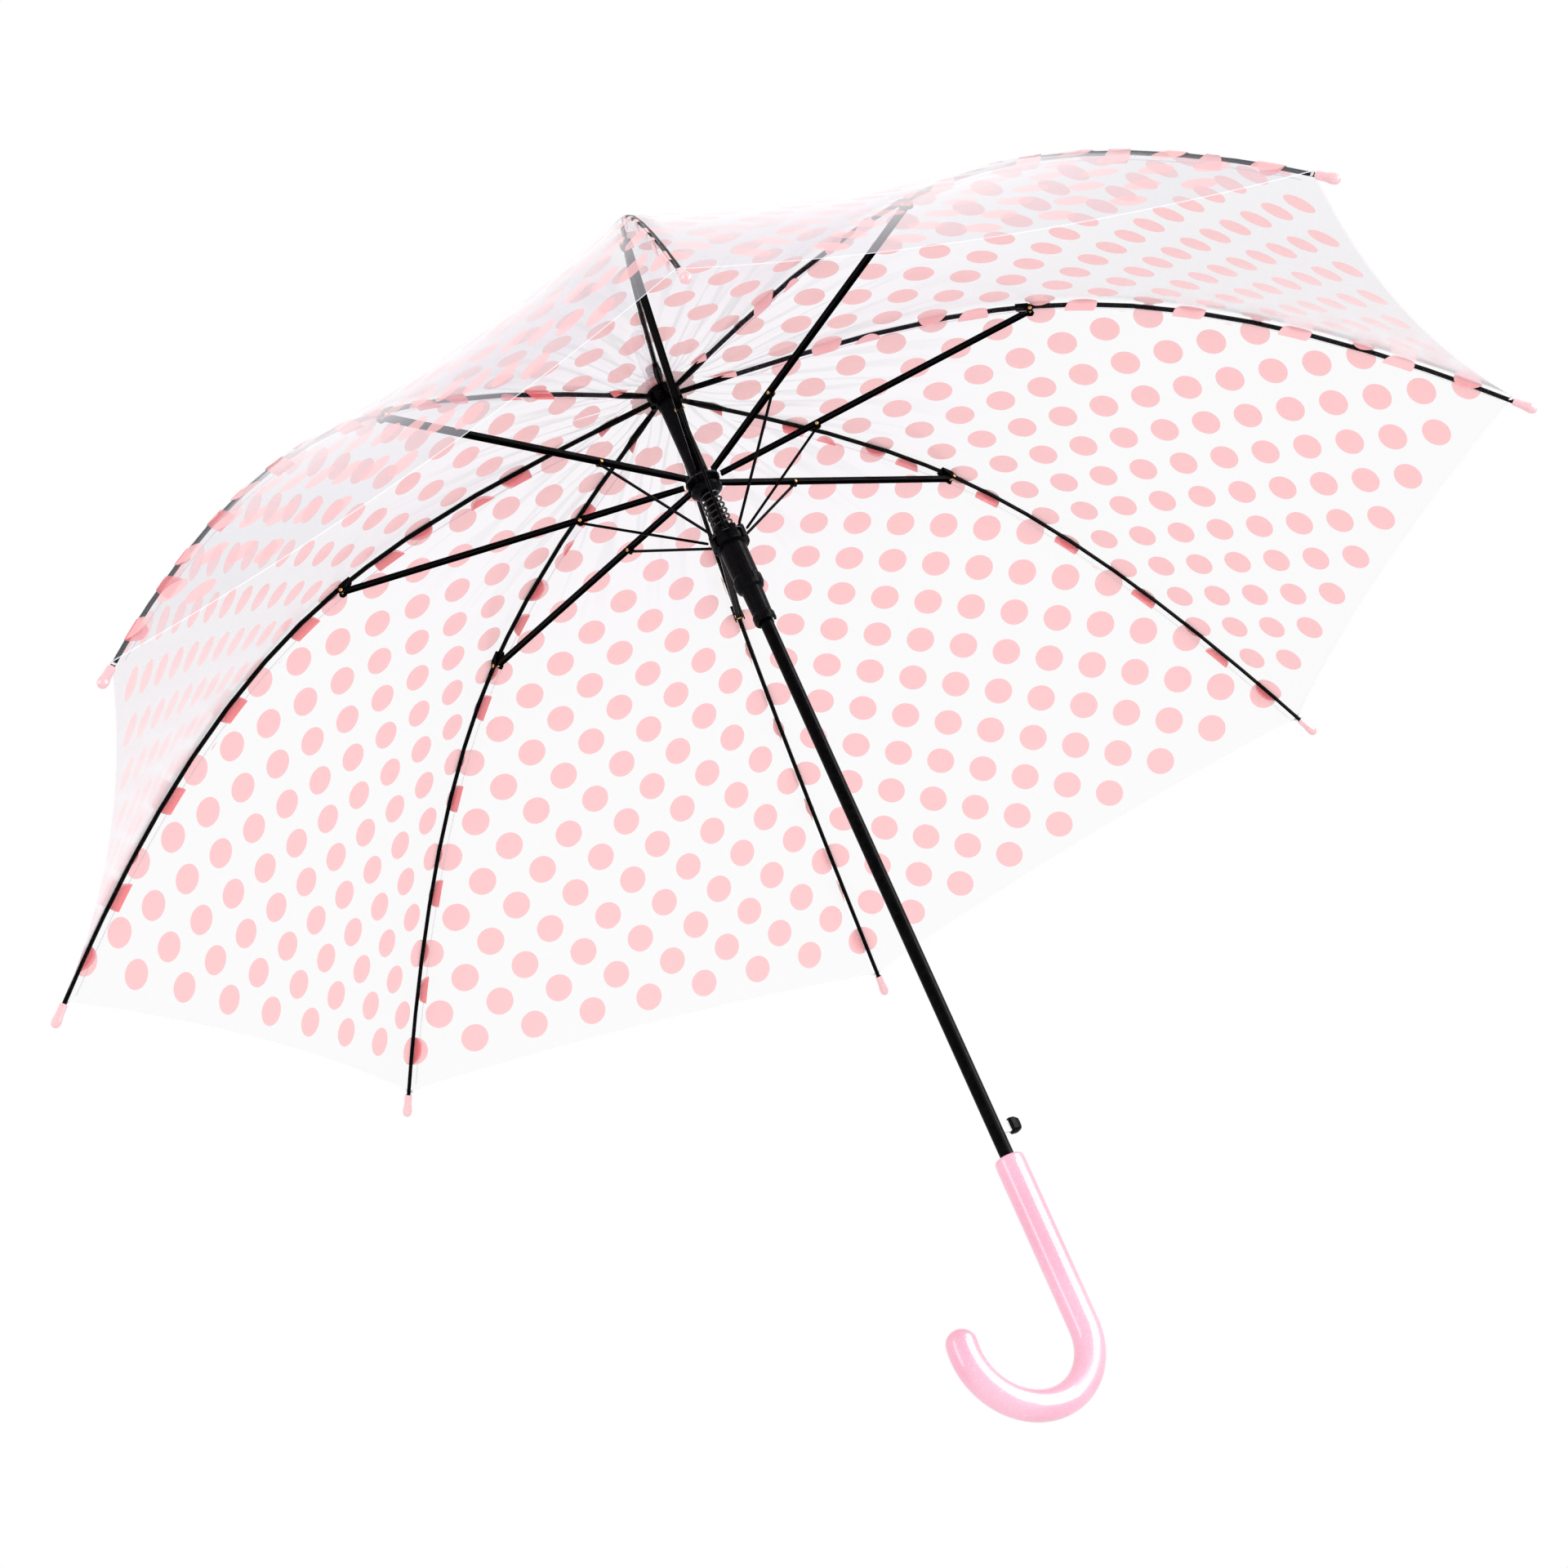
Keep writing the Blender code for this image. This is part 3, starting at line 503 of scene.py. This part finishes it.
def half_gore(k, side, rows, columns, name, body, first_s, last_s):
    """The half of a gore beside rib k: side 1 towards rib k + 1, side -1 towards rib k - 1. It has the seam's hanging edge along the rib."""
    gore = k if side > 0 else k - 1
    points, uv, edge = [], [], []
    fractions = [0.5 * (1 - math.cos(math.pi * j / (2 * columns))) / 0.5 * 0.5 for j in range(columns + 1)]
    for i in range(rows + 1):
        s = first_s + (last_s - first_s) * i / rows
        row = []
        t0 = 0.0 if side > 0 else 1.0
        p, u, v, rim, width = gore_point(gore, s, t0)
        shade = min(1.0, max(0.0, (s - 18.0) / 25.0)) * min(1.0, max(0.0, (FILM_END - s) / 10.0) * 0.7 + 0.3)
        apart = 0.14 * side
        shift = np.array(spot(azimuth_of(k % RIBS), 0.0, -apart, 0.0))
        for depth in (1.0, 0.5):
            hang = SEAM_DEPTH * depth * shade
            row.append((p + seam_inward(k, s) * max(hang, 0.02 * depth) + shift, u + (-side) * hang, v, rim, SEAM_DEPTH * (1 - depth)))
        for f in fractions:
            t = f if side > 0 else 1 - f
            p, u, v, rim, width = gore_point(gore, s, t)
            row.append((p + shift * (1 if f == 0 else 0), u, v, rim, width * f + SEAM_DEPTH))
        for q, u, v, rim, e in row:
            points.append(q)
            uv.append((u / 1000, v / 1000))
            edge.append((max(width, 1.0) / 1000 / 2, rim / 1000))
    wide = columns + 3
    faces = [(i * wide + j, i * wide + j + 1, (i + 1) * wide + j + 1, (i + 1) * wide + j) for i in range(rows) for j in range(wide - 1)]
    mesh = bpy.data.meshes.new(name)
    mesh.from_pydata([at(*p) for p in points], [], faces)
    for layer, values in (("gore", uv), ("edge", edge)):
        data = mesh.uv_layers.new(name=layer)
        for loop in mesh.loops:
            data.data[loop.index].uv = values[loop.vertex_index]
    for polygon in mesh.polygons:
        polygon.use_smooth = True
    # beside ribs 5 to 7 the flange's doubled ink takes the paler copy, painted as lit
    mesh.materials.append(FILM_PAINTED_LIT if k % RIBS in (4, 5, 6) else FILM)
    obj = bpy.data.objects.new(name, mesh)
    bpy.context.scene.collection.objects.link(obj)
    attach(obj, body)
    flat = np.array([[(uv[i * wide + j]) for j in range(wide)] for i in range(rows + 1)])
    cell = 0.0
    for i in range(rows):
        a, b, c, d = flat[i, :-1], flat[i, 1:], flat[i + 1, 1:], flat[i + 1, :-1]
        cell += float(np.abs((c - a)[:, 0] * (d - b)[:, 1] - (c - a)[:, 1] * (d - b)[:, 0]).sum() / 2)
    w, l = float(np.ptp(flat[:, :, 0])), float(np.ptp(flat[:, :, 1]))
    cell = min(max(cell, 0.31 * w * l), w * l)
    # the rib's line over this half, from its first row to its last, and its azimuth
    start, end = rib_at(max(first_s, 0))[0], rib_at(last_s)[0]
    d = (end - start) / np.linalg.norm(end - start)
    a = azimuth_of(k % RIBS)
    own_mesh(obj)
    return obj


film = []
for k in range(RIBS):
    for side, word in ((1, "a"), (-1, "b")):
        inner = half_gore(k, side, 22, 14, f"film_inner_{k + 1}{word}", f"rib_{k + 1}", FIRST, INNER_LENGTH)
        outer = half_gore(k, side, 26, 14, f"film_outer_{k + 1}{word}", f"rib_end_{k + 1}", INNER_LENGTH, FILM_END)
        film += [inner, outer]
        if side > 0:
            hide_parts(f"gore_{k + 1}")

# ---------------------------------------------------------------- frame details

for k in range(RIBS):
    n, a = k + 1, azimuth_of(k)
    tangent = spot(a, 0.0, 1.0, 0.0)
    # the rib runs on through its bracket in one piece
    path = [spot(a, *(lambda p: (p[0], 0.0, p[1]))(rib_at(INNER_LENGTH + s)[0])) for s in (-10, -6, -3, 0, 3, 6, 9)]
    points, faces = wire(path, 1.34, 10)
    make(f"rib_sleeve_{n}", points, faces, BLACK, f"rib_{n}", slot="black_metal")
    # flattened blade where the rib is crimped, just outside the crown
    loops = []
    for s, wide, deep in ((9.0, 1.75, 1.75), (14.0, 2.0, 1.75), (19.0, 2.5, 1.6), (27.0, 2.55, 1.55), (33.0, 1.9, 1.55), (38.0, 1.5, 1.5)):
        p, _, up_ = rib_at(s)
        loops.append([spot(a, *(lambda q, c: (q[0], c, q[1]))(p + deep * math.sin(t) * up_, wide * math.cos(t))) for t in np.linspace(0, 2 * math.pi, 12, endpoint=False)])
    make(f"rib_blade_{n}", *skin(loops), BLACK, f"rib_{n}", slot="black_metal")
    # the stretcher's back over its forked end
    plate = []
    for along, across, above in ((2.4, 1.42, 0.62), (9.5, 1.42, 0.62), (16.5, 1.66, 0.62), (51.0, 1.66, 0.62)):
        q = FOOT + along * ALONG
        plate.append([spot(a, *(lambda e: (e[0], c, e[1]))(q + h * ABOVE)) for c, h in ((-across, above - 0.35), (-across, above + 0.35), (across, above + 0.35), (across, above - 0.35))])
    plate = make(f"stretcher_back_{n}", *skin(plate), BLACK, f"stretcher_{n}", smooth=False, slot="black_metal")
    middle = FOOT + 27.0 * ALONG
    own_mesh(plate)
    # rivets: stretcher to bracket, strut to stretcher
    b = np.array(spot(a, BRACKET[0], 0.0, BRACKET[1]))
    make(f"bracket_rivet_{n}", *pin(b, tangent, 3.3, 1.25), BRASS, f"rib_{n}", slot="spring_steel")
    m = np.array(spot(a, *(lambda p: (p[0], 0.0, p[1]))(STRUT + ABOVE * 0.9)))
    make(f"strut_rivet_{n}", *pin(m, tangent, 2.45, 1.15), BRASS, f"stretcher_{n}", slot="spring_steel")
    # strut's eye round its rivet
    eye = [np.array(spot(a, *(lambda p: (p[0], 0.0, p[1]))(STRUT + 1.3 * (math.cos(q) * ALONG + math.sin(q) * ABOVE)))) for q in np.linspace(0, 2 * math.pi, 14, endpoint=False)]
    make(f"strut_eye_{n}", *wire(eye, 0.75, 8, closed=True), BLACK, f"strut_{n}", slot="black_metal")

# the wire that threads the ribs' eyes in the crown, and those in the two runners
for name, radius, z, wire_radius, body in (("crown_wire", 9.5, -6.0, 0.55, "shaft_and_grip"), ("upper_wire", 10.3, -70.0, 0.6, "upper_runner_body"), ("lower_wire", 11.0, -112.5, 0.55, "lower_runner_body")):
    ring = [(radius * math.cos(q), radius * math.sin(q), z) for q in np.linspace(0, 2 * math.pi, 72, endpoint=False)]
    make(name, *wire(ring, wire_radius, 8, closed=True), STEEL, body, slot="spring_steel")

# lugs between the stretchers and between the struts
step = math.radians(RIB_STEP)
lugs = joined([sector(5.8, 11.0, -74.8, -66.6, azimuth_of(k) + step / 2 - 0.085, azimuth_of(k) + step / 2 + 0.085, 2, 0.3) for k in range(RIBS)])
make("upper_lugs", *lugs, MOULDED, "upper_runner_body", smooth=False, slot="black_plastic")
lugs = joined([sector(8.0, 11.7, -115.6, -109.6, azimuth_of(k) + step / 2 - 0.25, azimuth_of(k) + step / 2 + 0.25, 4, 0.35) for k in range(RIBS)])
make("lower_lugs", *lugs, MOULDED, "lower_runner_body", smooth=False, slot="black_plastic")

# the opening spring, with its full number of turns
turns, mean = 6.4, 6.1
coil = []
for i in range(int(turns * 28) + 1):
    q = 2 * math.pi * i / 28
    coil.append((mean * math.cos(q), mean * math.sin(q), -108.9 + (27.6) * i / (turns * 28)))
spring = make("spring_coil", *wire(coil, 0.68, 10), STEEL, "spring_body", slot="spring_steel")
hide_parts("opening_spring")
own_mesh(spring)

# the button's spring, as a fixed coil; the real one gives as the button goes in
middle = -519.25
coil = [(-0.75 + 3.1 * i / 84, 1.35 * math.cos(2 * math.pi * i / 24), middle + 1.35 * math.sin(2 * math.pi * i / 24)) for i in range(85)]
spring = make("button_coil", *wire(coil, 0.32, 8), STEEL, "shaft_and_grip", slot="spring_steel")
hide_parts("button_spring")
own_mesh(spring)

# the handle, with fine steps round its bend
HANDLE_TOP, HANDLE_RADIUS, STRAIGHT_END, HOOK_RADIUS, HOOK_ANGLE = -537.6, 8.7, -639.6, 38.0, math.radians(189.0)
N = 56
turns = [(math.cos(2 * math.pi * k / N), math.sin(2 * math.pi * k / N)) for k in range(N)]
loops = [[(r * c, r * q, z) for c, q in turns] for z, r in ((HANDLE_TOP - 12.0, 4.4), (HANDLE_TOP - 0.1, 4.4), (HANDLE_TOP, 4.6), (HANDLE_TOP, HANDLE_RADIUS - 1.4), (HANDLE_TOP - 0.3, HANDLE_RADIUS - 0.8), (HANDLE_TOP - 0.9, HANDLE_RADIUS - 0.35), (HANDLE_TOP - 2.2, HANDLE_RADIUS - 0.08), (HANDLE_TOP - 5.0, HANDLE_RADIUS))]
loops += [[(HANDLE_RADIUS * c, HANDLE_RADIUS * q, z) for c, q in turns] for z in np.linspace(HANDLE_TOP - 12.0, STRAIGHT_END + 4.0, 12)]
bends = [(HOOK_ANGLE * i / 84, HANDLE_RADIUS, 0.0) for i in range(85)]
bends += [(HOOK_ANGLE, HANDLE_RADIUS * math.cos(q), 8.4 * math.sin(q)) for q in (0.2, 0.4, 0.6, 0.8, 1.0, 1.2, 1.35, 1.48)]
for angle, r, ahead in bends:
    x = HOOK_RADIUS * (1 - math.cos(angle)) + ahead * math.sin(angle)
    z = STRAIGHT_END - HOOK_RADIUS * math.sin(angle) - ahead * math.cos(angle)
    loops.append([(x + r * c * math.cos(angle), r * q, z + r * c * math.sin(angle)) for c, q in turns])
grip = make("handle_smooth", *skin(loops), HANDLE_PINK, "shaft_and_grip", slot="pink_pearl")
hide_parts("handle")

# ---------------------------------------------------------------- materials on the CAD's own pieces

for name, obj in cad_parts.items():
    if name.startswith(("rib_tip",)):
        mat = TIP_PINK
    elif name.startswith(("rib_", "stretcher", "strut", "shaft")):
        mat = BLACK
    elif name == "handle":
        mat = HANDLE_PINK
    elif name in ("button_stem",):
        mat = PALE
    elif name in ("ferrule", "top_washer"):
        mat = CLEAR
    elif name in ("button_spring", "opening_spring"):
        mat = STEEL
    elif name.startswith("gore"):
        mat = FILM
    else:
        mat = MOULDED
    if not obj.material_slots:
        obj.data.materials.append(mat)
    for s in obj.material_slots:
        s.material = mat

# ---------------------------------------------------------------- stage, light, camera

floor_mesh = bpy.data.meshes.new("floor")
floor_mesh.from_pydata([(-40, -40, -1.1), (40, -40, -1.1), (40, 40, -1.1), (-40, 40, -1.1)], [], [(0, 1, 2, 3)])
floor = bpy.data.objects.new("floor", floor_mesh)
bpy.context.scene.collection.objects.link(floor)
floor_mat, fn, fl, fp = new_material("pale_floor")
fp.inputs["Base Color"].default_value = (0.955, 0.955, 0.96, 1)
fp.inputs["Roughness"].default_value = 0.9
floor_mesh.materials.append(floor_mat)

scene = bpy.context.scene
world = bpy.data.worlds.new("white_room")
scene.world = world
world.use_nodes = True
world.node_tree.nodes["Background"].inputs[0].default_value = (1.0, 1.0, 1.0, 1.0)
world.node_tree.nodes["Background"].inputs[1].default_value = 1.0
scene.view_settings.view_transform = "Standard"
scene.view_settings.look = "None"
scene.view_settings.exposure = 0.0
scene.view_settings.gamma = 1.0

# camera: below the rim, looking up into the dome; lengths in millimetres
right, up, look = Vector((-0.84326287, 0.37878356, -0.38135383)), Vector((-0.13841607, 0.53253330, 0.83501454)), Vector((-0.51937340, -0.75692225, 0.39663582))
place = Vector((1000.261, 1491.700, -519.483))
camera_data = bpy.data.cameras.new("camera")
camera = bpy.data.objects.new("camera", camera_data)
scene.collection.objects.link(camera)
matrix = Matrix((right, up, -look)).transposed().to_4x4()
matrix.translation = place / 1000
camera.matrix_world = matrix
camera_data.sensor_width = 36.0
camera_data.sensor_fit = "HORIZONTAL"
camera_data.lens = 4187.33 / 1920 * 36.0
camera_data.shift_x = (960.0 - 1100.0) / 1920
camera_data.shift_y = (1020.0 - 960.0) / 1920
camera_data.clip_start, camera_data.clip_end = 0.05, 100
scene.camera = camera


def softbox(name, offset, size, watts, toward=(0, 0, 0.35)):
    """An area light, placed in the camera's own directions: (right, up, back) metres from the middle of the object."""
    data = bpy.data.lights.new(name, "AREA")
    data.shape, data.size, data.size_y, data.energy = "RECTANGLE", size[0], size[1], watts
    obj = bpy.data.objects.new(name, data)
    scene.collection.objects.link(obj)
    target = Vector(toward)
    obj.location = target + right * offset[0] + up * offset[1] - look * offset[2]
    obj.rotation_euler = (target - obj.location).to_track_quat("-Z", "Y").to_euler()
    return obj


softbox("key", (1.6, 1.3, 1.5), (0.5, 1.6), 16)
softbox("fill", (-1.8, 0.3, 1.3), (0.6, 1.6), 9)
# bright panels that only show in glossy surfaces: one for the upright grip, one for its bend
for name, offset, size, watts in (("glare_grip", (1.75, 2.05, 0.0), (1.15, 1.5), 80), ("glare_bend", (2.2, 1.1, 1.0), (1.3, 1.6), 55)):
    softbox(name, offset, size, watts, (0, 0, 0)).visible_diffuse = False
